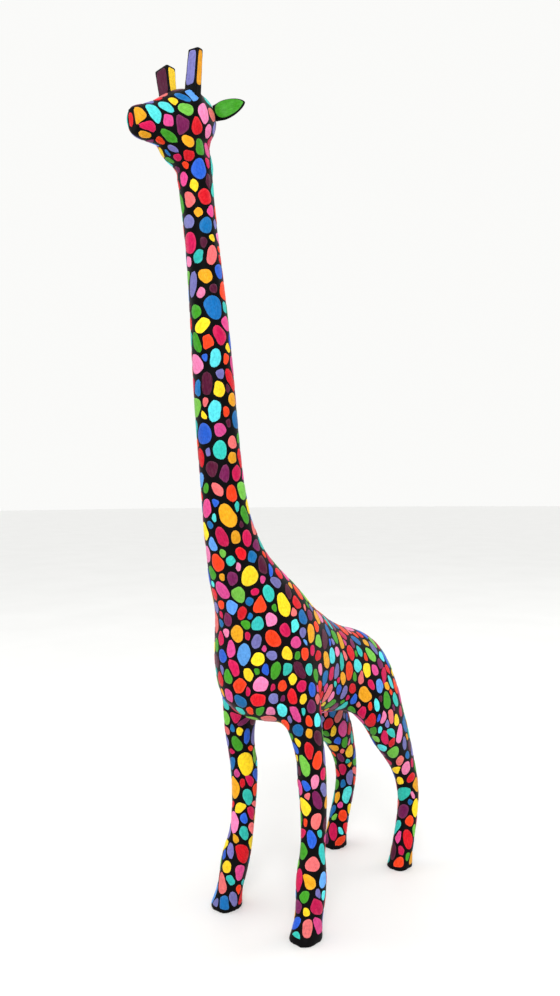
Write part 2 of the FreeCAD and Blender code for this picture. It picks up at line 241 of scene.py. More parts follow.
def pale_floor():
    """A matt, nearly white floor with faint clouds."""
    material, shader = new_material("pale_floor")
    cloud = body_noise(material, (6, 6, 6), 4.0)
    colour = ramp(material, cloud, ((0.3, (0.87, 0.87, 0.865)), (0.7, (0.90, 0.90, 0.895))))
    link(material, colour, shader.inputs["Base Color"])
    shader.inputs["Roughness"].default_value = 0.55
    return material


BLACK = black_ground()
DOTS = dot_paint()
WOOD = bare_wood()


# ---- paint

def linear(level):
    """One channel of a display colour, from 0 to 255, as linear light."""
    share = level / 255.0
    return share / 12.92 if level <= 10 else ((share + 0.055) / 1.055) ** 2.4


# name: (display colour, family, share of the dots)
PAINTS = {
    "turquoise": ((44, 190, 178), "teal", 8.5),
    "light_cyan": ((84, 224, 228), "teal", 3.0),
    "cobalt": ((32, 92, 208), "blue", 6.0),
    "ocean": ((6, 104, 170), "blue", 5.0),
    "sky": ((92, 158, 236), "blue", 3.5),
    "green": ((58, 150, 26), "green", 7.0),
    "leaf": ((112, 190, 66), "green", 3.0),
    "yellow": ((252, 212, 28), "yellow", 7.5),
    "golden": ((228, 158, 18), "yellow", 6.0),
    "orange_red": ((238, 60, 12), "orange", 8.0),
    "red": ((216, 10, 30), "red", 7.0),
    "crimson": ((200, 4, 78), "crimson", 9.0),
    "hot_pink": ((214, 66, 138), "pink", 5.5),
    "pink": ((238, 128, 176), "pink", 4.0),
    "salmon": ((234, 108, 108), "salmon", 5.5),
    "lilac": ((114, 112, 178), "lilac", 6.0),
    "plum": ((112, 18, 80), "plum", 4.5),
    "maroon": ((78, 4, 44), "plum", 4.5),
}
PAINT_NAMES = list(PAINTS)
PAINT_SHARES = np.array([PAINTS[name][2] for name in PAINT_NAMES])
PAINT_SHARES = PAINT_SHARES / PAINT_SHARES.sum()


def paint_of(name):
    """The paint's linear colour, a little different each time it is mixed."""
    base = np.array([linear(level) for level in PAINTS[name][0]])
    strength = dice.uniform(0.86, 1.12)
    tint = dice.uniform(0.95, 1.05, 3)
    return np.clip(base * strength * tint, 0.0, 1.0)


# ---- skin

# The glue faces between the carved pieces: a point, and the forward tilt.
NECK_FACE = ((0.0, -62.2, 300.0), 12.0)
HEAD_FACE = ((0.0, -91.6, 535.0), 8.0)
LEG_TOP = 138.0
LEG_FACE = ((0.0, 0.0, LEG_TOP), 0.0)

# The front legs stand before this place along the body, the hind legs behind.
MIDRIFF = 40.0
SIDES = (("left", 1), ("right", -1))

CARVED_NODES = ("torso", "neck", "head", "front_left_leg", "front_right_leg",
                "hind_left_leg", "hind_right_leg")
VOXEL = 1.25

# Each hoof: across, along, and how high its squared part reaches.
HOOVES = (
    (38.4, -25.0, 13.0),
    (-38.4, -25.0, 13.0),
    (33.6, 115.2, 11.0),
    (-33.6, 115.2, 11.0),
)
HOOF_REACH = 22.0
HOOF_SQUARING = 0.055
HOOF_TURN = math.radians(-51.0)


def face_normal(tilt):
    """The upward normal of a glue face that is tilted forward."""
    turn = math.radians(tilt)
    return (0.0, -math.sin(turn), math.cos(turn))


def mesh_arrays(mesh):
    """A mesh's points in millimetres, and its edges."""
    points = np.zeros(len(mesh.vertices) * 3)
    mesh.vertices.foreach_get("co", points)
    edges = np.zeros(len(mesh.edges) * 2, dtype=np.int64)
    mesh.edges.foreach_get("vertices", edges)
    return points.reshape(-1, 3) / MM, edges.reshape(-1, 2)


def write_points(mesh, points):
    mesh.vertices.foreach_set("co", (points * MM).astype(np.float32).ravel())
    mesh.update()


def relax(points, edges, weight, rounds, step=0.5):
    """Pull each point towards the middle of its neighbours, by its weight."""
    first, second = edges[:, 0], edges[:, 1]
    count = len(points)
    degree = np.bincount(first, minlength=count) + np.bincount(second, minlength=count)
    degree = np.maximum(degree, 1)[:, None]
    pull = np.broadcast_to(np.asarray(weight, dtype=float), (count,))[:, None]
    for _ in range(rounds):
        total = np.stack([np.bincount(first, points[second, k], count)
                          + np.bincount(second, points[first, k], count) for k in range(3)], axis=1)
        points = points + pull * step * (total / degree - points)
    return points


def fair(points, edges, rounds):
    """Smooth away small steps without shrinking the form."""
    for _ in range(rounds):
        points = relax(points, edges, 1.0, 1, 0.55)
        points = relax(points, edges, 1.0, 1, -0.57)
    return points


def largest_shell(mesh):
    """Drop every loose shell but the largest, such as closed-in cavities."""
    shape = bmesh.new()
    shape.from_mesh(mesh)
    left = set(shape.verts)
    shells = []
    while left:
        stack = [left.pop()]
        shell = []
        while stack:
            vert = stack.pop()
            shell.append(vert)
            near = left.intersection(edge.other_vert(vert) for edge in vert.link_edges)
            left -= near
            stack += near
        shells.append(shell)
    shells.sort(key=len)
    for shell in shells[:-1]:
        bmesh.ops.delete(shape, geom=shell, context="VERTS")
    shape.to_mesh(mesh)
    shape.free()


def remeshed(name, node_names, voxel):
    """One closed skin around several CAD nodes."""
    shape = bmesh.new()
    for node in node_names:
        shape.from_mesh(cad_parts[node].data)
    mesh = bpy.data.meshes.new(name)
    shape.to_mesh(mesh)
    shape.free()
    source = new_object(name, mesh)
    modifier = source.modifiers.new("skin", "REMESH")
    modifier.mode = "VOXEL"
    modifier.voxel_size = voxel * MM
    depsgraph = bpy.context.evaluated_depsgraph_get()
    result = bpy.data.meshes.new_from_object(source.evaluated_get(depsgraph))
    bpy.data.objects.remove(source)
    bpy.data.meshes.remove(mesh)
    result.name = name
    largest_shell(result)
    return result


def hoof_edges(points):
    """Square the soles off a little, as a chisel leaves them."""
    for across, along, height in HOOVES:
        away = np.hypot(points[:, 0] - across, points[:, 1] - along)
        near = (away < HOOF_REACH) & (points[:, 2] < height)
        dx = points[near, 0] - across
        dy = points[near, 1] - along
        angle = np.arctan2(dy, dx) - HOOF_TURN
        fade = 1.0 - ease(1.0, height, points[near, 2])
        grow = 1.0 + HOOF_SQUARING * np.cos(4.0 * angle) * fade
        points[near, 0] = across + dx * grow
        points[near, 1] = along + dy * grow
    return points


def barrel_zone(points):
    """The body between the leg joints and the neck joint."""
    return band(134.0, 158.0, 262.0, 300.0, points[:, 2])


def crotch_zone(points):
    """The arches between the left and the right legs."""
    x, _, z = points.T
    return band(106.0, 128.0, 160.0, 172.0, z) * (1.0 - ease(27.0, 37.0, np.abs(x)))


def armpit_zone(points):
    """The crease behind each front leg, up to the shoulder."""
    x, y, z = points.T
    return (band(132.0, 150.0, 185.0, 225.0, z) * ease(8.0, 18.0, np.abs(x))
            * ease(-8.0, 8.0, y) * (1.0 - ease(28.0, 50.0, y)))


def skull_zone(points):
    """The head behind the muzzle."""
    _, y, z = points.T
    return ease(540.0, 552.0, z) * ease(-136.0, -122.0, y) * 0.35


def boss_zone(points):
    """The raised bosses under the horns."""
    bosses = np.zeros(len(points))
    for place in ((10.9, -103.5, 578.0), (-10.5, -103.5, 578.0)):
        away = np.linalg.norm(points - np.array(place), axis=1)
        bosses = np.maximum(bosses, 1.0 - ease(9.0, 17.0, away))
    return bosses * 0.6


# Where the carver has sanded the form soft, and how many rounds that takes.
SANDED_ZONES = (
    (barrel_zone, 46),
    (crotch_zone, 260),
    (armpit_zone, 90),
    (skull_zone, 16),
    (boss_zone, 14),
)


def carve_skin():
    """The whole carved body as one smooth skin, before it is cut into pieces."""
    mesh = remeshed("skin", CARVED_NODES, VOXEL)
    points, edges = mesh_arrays(mesh)
    floor = max(points[:, 2].min(), 0.0)
    points = fair(points, edges, 6)
    for zone, rounds in SANDED_ZONES:
        points = relax(points, edges, zone(points), rounds)
    points = fair(points, edges, 4)
    points = hoof_edges(points)
    points[:, 2] = np.maximum(points[:, 2], floor)
    write_points(mesh, points)
    return mesh


# ---- dot layout

class Surface:
    """A skin's points and normals, and a way to land on it."""

    CELL = 8.0

    def __init__(self, mesh):
        self.points, _ = mesh_arrays(mesh)
        normals = np.zeros(len(mesh.vertices) * 3)
        mesh.vertex_normals.foreach_get("vector", normals)
        self.normals = unit(normals.reshape(-1, 3))
        self.polygons = [tuple(polygon.vertices) for polygon in mesh.polygons]
        self.tree = BVHTree.FromPolygons([Vector(p) for p in self.points], self.polygons)
        cells = {}
        for index, key in enumerate(map(tuple, np.floor(self.points / self.CELL).astype(int))):
            cells.setdefault(key, []).append(index)
        self.cells = {key: np.array(value) for key, value in cells.items()}

    def near(self, point, reach):
        """Indices of the skin's points in the cells around a point."""
        low = np.floor((point - reach) / self.CELL).astype(int)
        high = np.floor((point + reach) / self.CELL).astype(int)
        found = [self.cells[key]
                 for i in range(low[0], high[0] + 1)
                 for j in range(low[1], high[1] + 1)
                 for k in range(low[2], high[2] + 1)
                 if (key := (i, j, k)) in self.cells]
        return np.concatenate(found)

    def land(self, point):
        """The nearest place on the skin, and the smooth normal there."""
        place, _, polygon, _ = self.tree.find_nearest(Vector(point))
        place = np.array(place)
        corners = list(self.polygons[polygon])
        distance = np.linalg.norm(self.points[corners] - place, axis=1)
        weight = 1.0 / (distance + 0.05)
        normal = unit((self.normals[corners] * weight[:, None]).sum(0))
        return place, normal


def tangent(direction, normal):
    """A direction laid flat on the surface."""
    flat = direction - (direction * normal).sum(-1, keepdims=True) * normal
    return unit(flat)


def steps_between(centre, normal, first, second, places, normals):
    """Places around a centre as lengths along its two flat directions."""
    offset = places - centre
    chord = np.linalg.norm(offset, axis=1)
    turn = np.arccos(np.clip(normals @ normal, -1.0, 1.0)) / 2.0
    arc = chord * np.where(turn > 1e-3, turn / np.maximum(np.sin(turn), 1e-6), 1.0)
    flat = np.stack([offset @ first, offset @ second], axis=1)
    return unit(flat) * arc[:, None]


# How far round a dot the skin's clearance is worked out, beyond its size.
NEXT_DOT_REACH = 14.0

# How a painter's hand varies, with turns in radians.
HEADING_SPREAD = 0.30
STRAY_SHARE = 0.12
STRAY_TURN = 1.2
LENGTH_SPREAD = 0.20
LONGEST = 2.3


class Layout:
    """Where the dots sit: larger ones first, then smaller ones between them."""

    FIELDS = ("centres", "normals", "first", "second", "radii", "stretch", "painted")

    def __init__(self, surface):
        self.surface = surface
        self.clearance = np.full(len(surface.points), 1e9)
        self.dots = []

    def add(self, place, normal, direction, radius, stretch, painted=True, colour=None):
        first = tangent(np.array(direction, dtype=float), normal)
        second = np.cross(normal, first)
        self.dots.append((place, normal, first, second, radius, stretch, painted, colour))
        around = self.surface.near(place, 2.0 * radius + NEXT_DOT_REACH)
        around = around[self.surface.normals[around] @ normal > -0.2]
        flat = steps_between(place, normal, first, second,
                             self.surface.points[around], self.surface.normals[around])
        root = math.sqrt(stretch)
        distance = np.hypot(flat[:, 0] / root, flat[:, 1] * root)
        self.clearance[around] = np.minimum(self.clearance[around], distance - radius)

    def fill(self, order, size, spread, limit, scale, direction, stretch, allowed):
        """Drop dots of about one size wherever they still fit, with 0 for no limit."""
        placed = 0
        points, normals = self.surface.points, self.surface.normals
        for index in order:
            if not allowed[index]:
                continue
            radius = size * scale[index] * dice.uniform(1.0 - spread, 1.0 + spread)
            if self.clearance[index] < radius:
                continue
            turn = dice.normal(0.0, HEADING_SPREAD)
            if dice.random() < STRAY_SHARE:
                turn += dice.uniform(-STRAY_TURN, STRAY_TURN)
            along = direction[index]
            side = np.cross(normals[index], along)
            heading = math.cos(turn) * along + math.sin(turn) * side
            longer = stretch[index] * math.exp(dice.normal(0.0, LENGTH_SPREAD))
            self.add(points[index], normals[index], heading, radius, min(max(longer, 1.0), LONGEST))
            placed += 1
            if placed == limit:
                break

    def gap_scale(self, place):
        """Wider black lines on the breast and neck than on the flanks, legs and face."""
        flank = ease_one(-20.0, 30.0, place[1])
        leg = 1.0 - ease_one(120.0, 160.0, place[2])
        face = ease_one(536.0, 552.0, place[2])
        return 1.04 - 0.22 * max(flank, leg, face)

    def finish(self):
        """Turn the rows into an array for each field, and a list of colours."""
        *columns, colours = zip(*self.dots)
        self.colours = list(colours)
        for name, column in zip(self.FIELDS, columns):
            setattr(self, name, np.array(column))


# The chance left for a paint beside its like: next to it, and one dot further.
SAME_PAINT = (0.0, 0.25)
SAME_FAMILY = (0.08, 0.7)
NEXT_GAP = 3.5


def choose_colours(layout):
    """Give each dot a paint that none of the dots around it has."""
    for index in dice.permutation(len(layout.radii)):
        if not layout.painted[index] or layout.colours[index]:
            continue
        distance = np.linalg.norm(layout.centres - layout.centres[index], axis=1)
        reach = layout.radii + layout.radii[index] + NEXT_GAP
        shares = PAINT_SHARES.copy()
        for other in np.nonzero(distance < 1.9 * reach)[0]:
            used = layout.colours[other]
            if not used:
                continue
            further = int(distance[other] >= reach[other])
            for k, name in enumerate(PAINT_NAMES):
                if name == used:
                    shares[k] *= SAME_PAINT[further]
                elif PAINTS[name][1] == PAINTS[used][1]:
                    shares[k] *= SAME_FAMILY[further]
        if shares.sum() <= 0:
            shares = PAINT_SHARES.copy()
        layout.colours[index] = PAINT_NAMES[dice.choice(len(PAINT_NAMES), p=shares / shares.sum())]


# ---- dot meshes

DOT_RISE = 0.24
DOT_SUNK = 0.30

# Where a dot's rings of points lie, as shares of the way to its outline.
SMALL_DOT_RINGS = (0.84, 1.0)
DOT_RINGS = (0.45, 0.86, 1.0)
PANEL_RINGS = (0.12, 0.25, 0.38, 0.5, 0.62, 0.73, 0.83, 0.91, 0.96, 1.0)


def ring_shares(radii):
    if radii.max() > 8.0:
        return PANEL_RINGS
    return DOT_RINGS if radii.mean() > 1.9 else SMALL_DOT_RINGS


def band_faces(start, number):
    """The faces between one ring of points and the next."""
    afters = [(k + 1) % number for k in range(number)]
    return [(start + k, start + after, start + number + after, start + number + k)
            for k, after in enumerate(afters)]


class DotMesh:
    """Closed low domes of paint, collected into one mesh."""

    def __init__(self):
        self.points, self.faces = [], []
        self.paint, self.stroke, self.rim = [], [], []

    def add(self, surface, centre, normal, first, second, angles, radii, colour, rise=DOT_RISE):
        """Walk outwards over the skin to each ring of the dot, then lift the rings."""
        shares = ring_shares(radii)
        steps = np.cos(angles)[:, None] * first + np.sin(angles)[:, None] * second
        rings = [[] for _ in shares]
        for heading, radius in zip(steps, radii):
            place, gone = centre, 0.0
            for ring, share in zip(rings, shares):
                place, facing = surface.land(place + heading * (radius * share - gone))
                heading = tangent(heading, facing)
                gone = radius * share
                ring.append((place, facing))
        seed = dice.uniform(0.0, 400.0)
        start = len(self.points)
        number = len(angles)

        def put(place, facing, lift, share):
            self.points.append(place + facing * lift)
            flat = place - centre
            self.paint.append(colour)
            self.stroke.append((flat @ first, flat @ second, seed))
            self.rim.append(share)

        for place, facing in rings[-1]:
            put(place, facing, -DOT_SUNK, 1.0)
        for (place, facing), (inside, _) in zip(rings[-1], rings[-2]):
            put(place * 0.88 + inside * 0.12, facing, rise * 0.50, 1.0)
        for place, facing in rings[-2]:
            put(place, facing, rise * 0.95, 0.80)
        for ring in reversed(rings[:-2]):
            for place, facing in ring:
                put(place, facing, rise * 1.05, 0.35)
        put(centre, normal, rise * 1.08, 0.0)
        last = start + len(shares) * number
        top = last + number
        for base in range(start, last, number):
            self.faces += band_faces(base, number)
        for k in range(number):
            self.faces.append((last + k, last + (k + 1) % number, top))
        self.faces.append(tuple(start + k for k in reversed(range(number))))

    def build(self, name):
        mesh = bpy.data.meshes.new(name)
        mesh.from_pydata((np.array(self.points) * MM).tolist(), [], self.faces)
        paint = mesh.attributes.new("paint", "FLOAT_COLOR", "POINT")
        rgba = np.column_stack([np.array(self.paint), np.ones(len(self.paint))])
        paint.data.foreach_set("color", rgba.astype(np.float32).ravel())
        stroke = mesh.attributes.new("stroke", "FLOAT_VECTOR", "POINT")
        stroke.data.foreach_set("vector", np.array(self.stroke, dtype=np.float32).ravel())
        rim = mesh.attributes.new("rim", "FLOAT", "POINT")
        rim.data.foreach_set("value", np.array(self.rim, dtype=np.float32))
        mesh.shade_smooth()
        mesh.materials.append(DOTS)
        mesh.validate()
        mesh.update()
        return new_object(name, mesh)


def sole_edge(place):
    """How high the plain black band round a sole reaches."""
    front_left = place[0] > 0.0 and place[1] < MIDRIFF
    return 6.0 if front_left else 2.8


# A dot reaches at least this far at every angle.
LEAST_REACH = 0.35
# Dots below this height keep off the black band round the sole.
HOOF_TOP = 22.0
# A little over one turn, in radians.
ANY_TURN = 6.3
# Uneven outlines: waves in one turn, and their size.
OUTLINE_WAVES = ((2, 0.045), (3, 0.040), (5, 0.018))


def dot_outline(layout, index, angles):
    """How far a dot reaches at each angle: up to its neighbours, less a gap."""
    centre, normal = layout.centres[index], layout.normals[index]
    first, second = layout.first[index], layout.second[index]
    radius, root = layout.radii[index], math.sqrt(layout.stretch[index])
    near = np.linalg.norm(layout.centres - centre, axis=1) < 3.2 * radius + 16.0
    near &= layout.normals @ normal > -0.1
    near[index] = False
    others = np.nonzero(near)[0]
    sharp = dice.uniform(3.6, 10.0)
    gap = dice.uniform(0.42, 0.95) * (0.72 + 0.07 * radius) * layout.gap_scale(centre)
    limit = radius * dice.uniform(0.98, 1.30)
    ellipse = limit / np.sqrt((np.cos(angles) / root) ** 2 + (np.sin(angles) * root) ** 2)
    ellipse = ellipse * (1.0 + dice.uniform(0.0, 0.20) * np.cos(angles - dice.uniform(0, ANY_TURN)))
    total = (1.0 / ellipse) ** sharp
    if len(others):
        flat = steps_between(centre, normal, first, second, layout.centres[others], layout.normals[others])
        scaled = np.stack([flat[:, 0] / root, flat[:, 1] * root], axis=1)
        length = np.maximum(np.linalg.norm(scaled, axis=1), 1e-6)
        aim = scaled / length[:, None]
        line = np.stack([aim[:, 0] / root, aim[:, 1] * root], axis=1)
        size = np.linalg.norm(line, axis=1)
        share = radius / (radius + layout.radii[others])
        reach = np.maximum(share * length / size - gap, LEAST_REACH)
        bearing = np.arctan2(line[:, 1], line[:, 0])
        facing = np.maximum(np.cos(angles[:, None] - bearing[None, :]), 0.0)
        total = total + ((facing / reach[None, :]) ** sharp).sum(1)
    rise = np.array((first[2], second[2]))
    if centre[2] < HOOF_TOP and np.linalg.norm(rise) > 0.3:
        reach = max((centre[2] - sole_edge(centre)) / np.linalg.norm(rise), LEAST_REACH)
        bearing = math.atan2(-rise[1], -rise[0])
        total = total + (np.maximum(np.cos(angles - bearing), 0.0) / reach) ** sharp
    wobble = 1.0
    for waves, size in OUTLINE_WAVES:
        wobble = wobble + size * np.sin(waves * angles + dice.uniform(0, ANY_TURN))
    return total ** (-1.0 / sharp) * wobble


SMALLEST_DOT = 0.75
FEWEST_POINTS, MOST_POINTS = 13, 24


def lay_dots(surface, layout, owner_of):
    """Build every painted dot, in one mesh for each wooden piece."""
    meshes = {}
    for index in range(len(layout.radii)):
        if not layout.painted[index]:
            continue
        number = int(np.clip(round(8 + 2.2 * layout.radii[index]), FEWEST_POINTS, MOST_POINTS))
        angles = np.arange(number) * (2 * math.pi / number) + dice.uniform(0, 1)
        radii = dot_outline(layout, index, angles)
        if radii.mean() < SMALLEST_DOT:
            continue
        dots = meshes.setdefault(owner_of(layout.centres[index]), DotMesh())
        dots.add(surface, layout.centres[index], layout.normals[index], layout.first[index],
                 layout.second[index], angles, radii, paint_of(layout.colours[index]))
    return meshes


# ---- dotted body

def dot_scale(points):
    """How large the dots are painted: larger on neck, legs and head."""
    z = points[:, 2]
    legs = 1.0 - ease(128.0, 165.0, z)
    neck = ease(262.0, 330.0, z)
    chest = (1.0 - ease(-20.0, 20.0, points[:, 1])) * (1.0 - neck)
    return 1.24 + 0.03 * legs + 0.08 * neck + 0.03 * chest


def dot_directions(points, normals):
    """The way the dots are drawn out: up the limbs, and along the back."""
    z = points[:, 2]
    lean = np.tile(np.array((0.0, -0.14, 1.0)), (len(points), 1))
    head = ease(545.0, 558.0, z)[:, None]
    lean = lean * (1.0 - head) + head * np.array((0.0, -0.75, 0.55))
    flat = np.clip(1.0 - np.linalg.norm(np.cross(normals, unit(lean)), axis=1), 0.0, 1.0)
    level = ease(0.25, 0.75, flat)[:, None]
    return tangent(unit(lean) * (1.0 - level) + level * ALONG, normals)


# Size, spread, and the most of the skin that dots of that size may cover, with
# 0 for no limit.
DOT_SIZES = (
    (5.5, 0.10, 0.06),
    (4.7, 0.09, 0.13),
    (4.0, 0.09, 0.25),
    (3.4, 0.09, 0.0),
    (2.75, 0.07, 0.0),
    (2.1, 0.05, 0.0),
)

# The places where horns and ears stand on the head: across, along, up, radius,
# and the reach of the plain black round them.
POSTS = (
    (11.8, -104.8, 586.5, 5.2, 10.6),
    (-11.2, -104.8, 586.5, 5.2, 10.6),
    (10.5, -79.0, 580.0, 5.4, 9.0),
    (-10.5, -79.0, 580.0, 5.4, 9.0),
)

# The dots that give the face its look.  Across, along, up, radius, stretch,
# fall of the long axis, paint on the left side, paint on the right side.
FACE_DOTS = (
    (6, -146, 556, 6.0, 1.0, 0.5, "golden", "turquoise"),
    (7, -140, 551, 5.2, 1.6, 0.1, "crimson", "orange_red"),
    (4, -139, 547, 4.2, 1.8, 0.0, "golden", "lilac"),
    (8, -135, 561, 5.8, 1.1, 0.6, "light_cyan", "hot_pink"),
    (9, -126, 568, 5.3, 1.4, 0.6, "light_cyan", "green"),
    (10, -120, 573, 3.9, 1.2, 0.4, "yellow", "red"),
    (12, -113, 577, 4.9, 1.8, 0.5, "ocean", "golden"),
    (15, -110, 579, 4.2, 1.4, 0.6, "sky", "plum"),
    (14, -114, 569, 5.6, 1.3, 0.3, "leaf", "cobalt"),
    (18, -101, 569, 6.3, 1.35, 3.0, "pink", "yellow"),
    (10, -125, 559, 4.9, 1.4, 5.0, "hot_pink", "maroon"),
    (13, -115, 559, 6.0, 1.25, 4.0, "plum", "leaf"),
    (16, -105, 560, 4.9, 1.25, 4.0, "red", "turquoise"),
    (16, -94, 561, 4.1, 1.3, 4.0, "pink", "cobalt"),
    (7, -123, 550, 5.6, 1.9, 0.3, "green", "pink"),
    (12, -109, 550, 5.4, 1.6, 0.1, "golden", "crimson"),
    (4, -126, 547, 3.8, 1.9, 0.3, "orange_red", "sky"),
    (5, -117, 545, 4.1, 2.1, 0.0, "lilac", "yellow"),
    (13, -100, 549, 4.9, 1.1, 1.5, "green", "golden"),
    (10, -98, 536, 6.4, 1.15, 8.0, "cobalt", "salmon"),
    (10, -107, 542, 4.1, 1.15, 8.0, "red", "light_cyan"),
    (4, -112, 541, 3.6, 1.3, 8.0, "crimson", "green"),
)

NOSE_TIP = (-2.0, -150.0, 555.0)

# Large dots are shared out over the legs, the body and, from here up, the neck.
NECK_FOOT = 290.0


def body_layout(surface):
    """Plain posts first, then the face's own dots, then all the others by size."""
    points, normals = surface.points, surface.normals
    layout = Layout(surface)
    direction = dot_directions(points, normals)
    scale = dot_scale(points)
    legs = 1.0 - ease(130.0, 150.0, points[:, 2])
    flank = ease(0.0, 40.0, points[:, 1]) * (1.0 - legs)
    stretch = 1.34 + 0.30 * legs + 0.22 * flank
    underside = (normals[:, 2] < -0.5) & (points[:, 2] < 6.0)
    allowed = ~underside & (points[:, 2] > 5.0)
    for x, y, z, radius, plain in POSTS:
        place, normal = surface.land(np.array((x, y, z)))
        layout.add(place, normal, (0.0, 1.0, 0.1), radius, 1.0, painted=False)
        allowed &= np.linalg.norm(points - place, axis=1) > plain
    for x, y, z, radius, longer, fall, left_paint, right_paint in FACE_DOTS:
        for side, paint in ((1, left_paint), (-1, right_paint)):
            place, normal = surface.land(np.array((side * x, y, z), dtype=float))
            layout.add(place, normal, (0.0, 1.0, -fall), radius, longer, colour=paint)
    place, normal = surface.land(NOSE_TIP)
    layout.add(place, normal, UP, 4.2, 1.3, colour="red")
    order = dice.permutation(len(points))
    below, above_breast = points[:, 2] < LEG_TOP, points[:, 2] >= NECK_FOOT
    for size, spread, share in DOT_SIZES:
        for zone in (below, ~below & ~above_breast, above_breast):
            area = zone.sum() * VOXEL ** 2
            mean_scale = scale[zone].mean()
            limit = int(share * area / (math.pi * (size * mean_scale) ** 2))
            layout.fill(order, size, spread, limit, scale, direction, stretch, allowed & zone)
    layout.finish()
    choose_colours(layout)
    return layout


def above(place, face):
    """Whether a place lies above a glue face."""
    point, tilt = face
    return np.dot(place - np.array(point), face_normal(tilt)) > 0.0


def body_owner(place):
    """Which wooden piece a place on the body's skin belongs to."""
    if not above(place, LEG_FACE):
        end = "front" if place[1] < MIDRIFF else "hind"
        side = "left" if place[0] > 0.0 else "right"
        return f"{end}_{side}_leg"
    if above(place, HEAD_FACE):
        return "head"
    if above(place, NECK_FACE):
        return "neck"
    return "torso"


def slice_off(shape, place, normal, above_it):
    """Cut a mesh at a plane, drop the part above or below it, and close the cut."""
    everything = shape.verts[:] + shape.edges[:] + shape.faces[:]
    result = bmesh.ops.bisect_plane(
        shape, geom=everything, dist=1e-8, plane_co=Vector(place) * MM, plane_no=Vector(normal),
        clear_inner=not above_it, clear_outer=above_it)
    rim = [item for item in result["geom_cut"]
           if isinstance(item, bmesh.types.BMEdge) and len(item.link_faces) == 1]
    bmesh.ops.edgeloop_fill(shape, edges=rim)


def cut_piece(skin, cuts, leg=None):
    """The part of the skin between some faces, closed where it is cut."""
    shape = bmesh.new()
    shape.from_mesh(skin)
    for (place, tilt), upper in cuts:
        slice_off(shape, place, face_normal(tilt), not upper)
    if leg:
        side, end = leg
        slice_off(shape, (0.0, 0.0, 0.0), (-side, 0.0, 0.0), True)
        drop = [v for v in shape.verts if (v.co.y / MM < MIDRIFF) != (end == "front")]
        bmesh.ops.delete(shape, geom=drop, context="VERTS")
    bmesh.ops.recalc_face_normals(shape, faces=shape.faces[:])
    mesh = bpy.data.meshes.new("piece")
    shape.to_mesh(mesh)
    shape.free()
    return mesh


def finish_mesh(mesh, material, sharp=50.0):
    mesh.shade_smooth()
    mesh.set_sharp_from_angle(angle=math.radians(sharp))
    mesh.materials.clear()
    mesh.materials.append(material)
    mesh.update()
    return mesh


def make_wooden_pieces(skin):
    """Cut the skin at the glue faces.  True keeps what is above a face."""
    cuts = {
        "torso": ([(LEG_FACE, True), (NECK_FACE, False)], None),
        "neck": ([(NECK_FACE, True), (HEAD_FACE, False)], None),
        "head": ([(HEAD_FACE, True)], None),
    }
    for end in ("front", "hind"):
        for side_name, side in SIDES:
            cuts[f"{end}_{side_name}_leg"] = ([(LEG_FACE, False)], (side, end))
    for name, (faces, leg) in cuts.items():
        mesh = finish_mesh(cut_piece(skin, faces, leg), BLACK)
        piece = new_object(f"carved_{name}", mesh)
        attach(piece, "root")
        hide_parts(name)


# ---- horns

# Root, lean, width and depth at the root, taper of each side, length.  A
# positive taper narrows a horn towards its top, a negative one widens it.
HORNS = {
    "left": ((10.8, -104.8, 576.0), 6.5, 10.8, 6.6, 1.2, 34.5),
    "right": ((-9.9, -104.8, 576.0), -8.0, 10.0, 6.2, -2.0, 30.4),
}


def grid_mesh(name, rings, last_end=True):
    """A skin through rings of points, closed at the first and, if asked, the last."""
    points = np.concatenate(rings)
    number = len(rings[0])
    faces = []
    last = (len(rings) - 1) * number
    for start in range(0, last, number):
        faces += band_faces(start, number)
    faces.append(tuple(reversed(range(number))))
    if last_end:
        faces.append(tuple(range(last, last + number)))
    mesh = bpy.data.meshes.new(name)
    mesh.from_pydata((points * MM).tolist(), [], faces)
    mesh.update()
    return mesh


def rounded_rectangle(half_wide, half_deep, corner, per_corner=5, per_side=6):
    """Points round a rectangle with round corners, anticlockwise."""
    arcs = []
    for sx, sy, start in ((1, -1, -90), (1, 1, 0), (-1, 1, 90), (-1, -1, 180)):
        middle = np.array((sx * (half_wide - corner), sy * (half_deep - corner)))
        turns = np.radians(start + 90.0 * np.arange(per_corner + 1) / per_corner)
        arcs.append(middle + corner * np.column_stack([np.cos(turns), np.sin(turns)]))
    ring = []
    for arc, after in zip(arcs, arcs[1:] + arcs[:1]):
        side = np.linspace(arc[-1], after[0], per_side + 1)
        ring += [arc, side[1:-1]]
    return np.concatenate(ring)


# How a horn's top is eased: distances below the top, and how far in they are.
HORN_TOP = ((0.5, 0.10), (0.2, 0.32), (0.04, 0.62), (0.0, 1.1))
HORN_CORNER = 1.2


def horn_rings(wide, deep, taper, length):
    """A stick cut by hand: square, a little uneven, with an eased top."""
    rings = []
    levels = [(level, 0.0) for level in np.linspace(0.0, length - 0.9, 26)]
    levels += [(length - below, inset) for below, inset in HORN_TOP]
    for level, inset in levels:
        slim = level * math.tan(math.radians(taper)) + inset
        wave = 0.07 * math.sin(level * 0.55 + length) + 0.05 * math.sin(level * 1.3)
        ring = rounded_rectangle(wide / 2 - slim, deep / 2 - slim, HORN_CORNER)
        ring = ring * (1.0 + 0.012 * wave) + np.array((wave, 0.6 * wave)) * 0.5
        rings.append(np.column_stack([ring, np.full(len(ring), level)]))
    return rings


# The way each panel faces, and its paint on the left and on the right horn.
HORN_PANELS = (
    ((0, -1, 0), "lilac", "maroon"),
    ((0, 1, 0), "hot_pink", "cobalt"),
    ((1, 0, 0), "golden", "yellow"),
    ((-1, 0, 0), "turquoise", "orange_red"),
)
